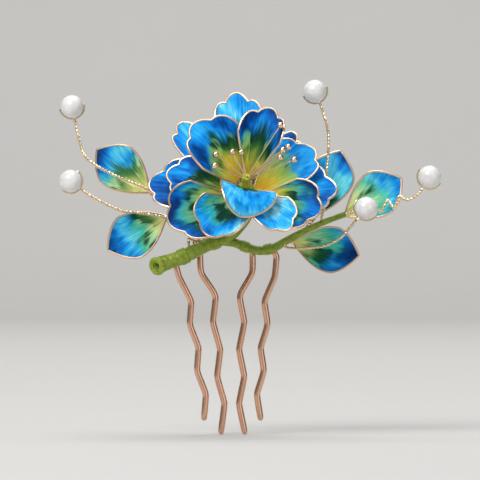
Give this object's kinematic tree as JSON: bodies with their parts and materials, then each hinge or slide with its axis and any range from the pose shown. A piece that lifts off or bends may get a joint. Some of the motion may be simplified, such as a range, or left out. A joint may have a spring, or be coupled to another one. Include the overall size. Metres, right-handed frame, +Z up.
{
  "type": "decorative hair comb",
  "caption": "Hair comb with a wired silk peony, leaves and pearl sprays on a thread-wound branch, held in the hair by nested wavy hairpins.",
  "frame": {"origin": "on the branch line, midway between the prongs, where the comb meets the hair", "axes": "+X to the right as seen from the front, +Z up out of the hair, the flower faces -Y"},
  "size_m": [0.0995, 0.0289, 0.0924],
  "materials": {
    "hairpin_wire": "copper-toned drawn wire, satin",
    "branch_thread": "wound silk floss, slightly lustrous",
    "pistil_thread": "wound silk floss",
    "petal_wire": "rose-gold plated wire, polished",
    "petal_silk": "dyed silk floss bonded to the wire, soft sheen",
    "leaf_wire": "rose-gold plated wire, polished",
    "leaf_silk": "dyed silk floss bonded to the wire, soft sheen",
    "stamen_wire": "rose-gold plated wire, polished",
    "stamen_bead": "rose-gold plated bead, polished",
    "spray_wire": "pale gold plated wire, twisted",
    "pearl": "nacre, soft gloss"
  },
  "bodies": {
    "comb": {"outer_hairpin": "hairpin_wire", "inner_hairpin": "hairpin_wire", "main_stem": "branch_thread", "side_branch": "branch_thread", "binding_threads": "branch_thread", "receptacle": "branch_thread", "pistil": "pistil_thread", "stamen_filaments": "stamen_wire", "stamen_beads": "stamen_bead", "petal_01_wire": "petal_wire", "petal_02_wire": "petal_wire", "petal_03_wire": "petal_wire", "petal_04_wire": "petal_wire", "petal_05_wire": "petal_wire", "petal_06_wire": "petal_wire", "petal_07_wire": "petal_wire", "petal_08_wire": "petal_wire", "petal_09_wire": "petal_wire", "petal_10_wire": "petal_wire", "petal_11_wire": "petal_wire", "petal_12_wire": "petal_wire", "petal_13_wire": "petal_wire", "petal_14_wire": "petal_wire", "petal_01_silk": "petal_silk", "petal_02_silk": "petal_silk", "petal_03_silk": "petal_silk", "petal_04_silk": "petal_silk", "petal_05_silk": "petal_silk", "petal_06_silk": "petal_silk", "petal_07_silk": "petal_silk", "petal_08_silk": "petal_silk", "petal_09_silk": "petal_silk", "petal_10_silk": "petal_silk", "petal_11_silk": "petal_silk", "petal_12_silk": "petal_silk", "petal_13_silk": "petal_silk", "petal_14_silk": "petal_silk", "leaf_1_wire": "leaf_wire", "leaf_2_wire": "leaf_wire", "leaf_3_wire": "leaf_wire", "leaf_4_wire": "leaf_wire", "leaf_5_wire": "leaf_wire", "leaf_1_silk": "leaf_silk", "leaf_2_silk": "leaf_silk", "leaf_3_silk": "leaf_silk", "leaf_4_silk": "leaf_silk", "leaf_5_silk": "leaf_silk"},
    "spray_a": {"stalk_a": "spray_wire"},
    "bead_a": {"pearl_a": "pearl"},
    "spray_b": {"stalk_b": "spray_wire"},
    "bead_b": {"pearl_b": "pearl"},
    "spray_c": {"stalk_c": "spray_wire"},
    "bead_c": {"pearl_c": "pearl"},
    "spray_d": {"stalk_d": "spray_wire"},
    "bead_d": {"pearl_d": "pearl"},
    "spray_e": {"stalk_e": "spray_wire"},
    "bead_e": {"pearl_e": "pearl"}
  },
  "joints": [
    {"name": "spray_a_sway", "type": "hinge", "parent": "comb", "child": "spray_a", "pos_m": [-0.00648, 0.0006, 0.00529], "axis": [0, 1, 0], "range_deg": [-5, 5], "stiffness_Nm_per_rad": 0.016},
    {"name": "pearl_a_spin", "type": "hinge", "parent": "spray_a", "child": "bead_a", "pos_m": [-0.0406, 0.0006, 0.0394], "axis": [-0.9812, 0, -0.1927], "continuous": true},
    {"name": "spray_b_sway", "type": "hinge", "parent": "comb", "child": "spray_b", "pos_m": [-0.0102, 0.0006, 0.00358], "axis": [0, 1, 0], "range_deg": [-5, 5], "stiffness_Nm_per_rad": 0.022},
    {"name": "pearl_b_spin", "type": "hinge", "parent": "spray_b", "child": "bead_b", "pos_m": [-0.041, 0.0006, 0.02], "axis": [-0.606, 0, -0.7954], "continuous": true},
    {"name": "spray_c_sway", "type": "hinge", "parent": "comb", "child": "spray_c", "pos_m": [0.01516, 0.0006, 0.00271], "axis": [0, 1, 0], "range_deg": [-5, 5], "stiffness_Nm_per_rad": 0.03},
    {"name": "pearl_c_spin", "type": "hinge", "parent": "spray_c", "child": "bead_c", "pos_m": [0.0359, -0.00316, 0.0129], "axis": [-0.7634, 0, 0.6459], "continuous": true},
    {"name": "spray_d_sway", "type": "hinge", "parent": "comb", "child": "spray_d", "pos_m": [0.03086, 0.0006, 0.0115], "axis": [0, 1, 0], "range_deg": [-5, 5], "stiffness_Nm_per_rad": 0.03},
    {"name": "pearl_d_spin", "type": "hinge", "parent": "spray_d", "child": "bead_d", "pos_m": [0.0525, 0.0006, 0.0211], "axis": [-0.8291, 0, 0.5591], "continuous": true},
    {"name": "spray_e_sway", "type": "hinge", "parent": "comb", "child": "spray_e", "pos_m": [0.02432, 0.0006, 0.01039], "axis": [0, 1, 0], "range_deg": [-5, 5], "stiffness_Nm_per_rad": 0.022},
    {"name": "pearl_e_spin", "type": "hinge", "parent": "spray_e", "child": "bead_e", "pos_m": [0.0226, 0.0006, 0.0434], "axis": [-0.932, 0, -0.3625], "continuous": true}
  ]
}
